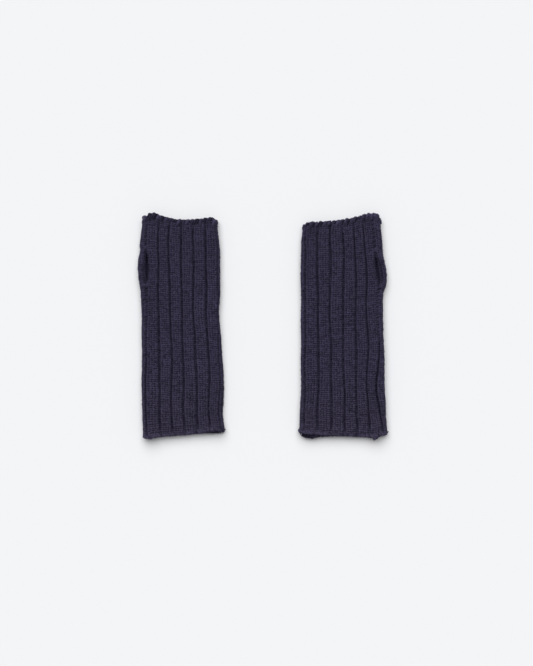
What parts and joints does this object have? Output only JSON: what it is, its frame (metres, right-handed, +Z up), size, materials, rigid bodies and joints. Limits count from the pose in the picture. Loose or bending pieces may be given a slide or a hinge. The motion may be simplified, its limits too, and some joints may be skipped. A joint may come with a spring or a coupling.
{
  "type": "ribbed fingerless mitts",
  "caption": "Pair of long fingerless mitts in wide rib knit, laid flat, each a seamed tube with rolled edges and an open slit for the thumb.",
  "frame": {"origin": "centre of the pair's footprint, on the surface it lies on", "axes": "+Z up from the surface, +Y along both mitts from wrist to fingers, +X across the pair, towards the right mitt, whose thumb side faces +X"},
  "size_m": [0.238, 0.2188, 0.0125],
  "materials": {
    "rib_knit": "soft wool yarn, wide rib knit",
    "edge_yarn": "soft wool yarn, chained edge",
    "sewing_yarn": "the same yarn, drawn tight as a seam"
  },
  "bodies": {
    "left_mitt": {"left_knit_body": "rib_knit", "left_finger_edge": "edge_yarn", "left_wrist_edge": "edge_yarn", "left_thumb_slit_palm_edge": "edge_yarn", "left_thumb_slit_back_edge": "edge_yarn", "left_wrist_seam": "sewing_yarn", "left_finger_seam": "sewing_yarn", "left_wrist_side_tack": "sewing_yarn", "left_finger_side_tack": "sewing_yarn", "left_finger_knot": "sewing_yarn", "left_wrist_knot": "sewing_yarn"},
    "right_mitt": {"right_knit_body": "rib_knit", "right_finger_edge": "edge_yarn", "right_wrist_edge": "edge_yarn", "right_thumb_slit_palm_edge": "edge_yarn", "right_thumb_slit_back_edge": "edge_yarn", "right_wrist_seam": "sewing_yarn", "right_finger_seam": "sewing_yarn", "right_wrist_side_tack": "sewing_yarn", "right_finger_side_tack": "sewing_yarn", "right_finger_knot": "sewing_yarn", "right_wrist_knot": "sewing_yarn"}
  },
  "joints": [
    {"name": "pair_spacing", "type": "slide", "parent": "left_mitt", "child": "right_mitt", "axis": [1, 0, 0], "range_m": [-0.06, 0.12]}
  ]
}
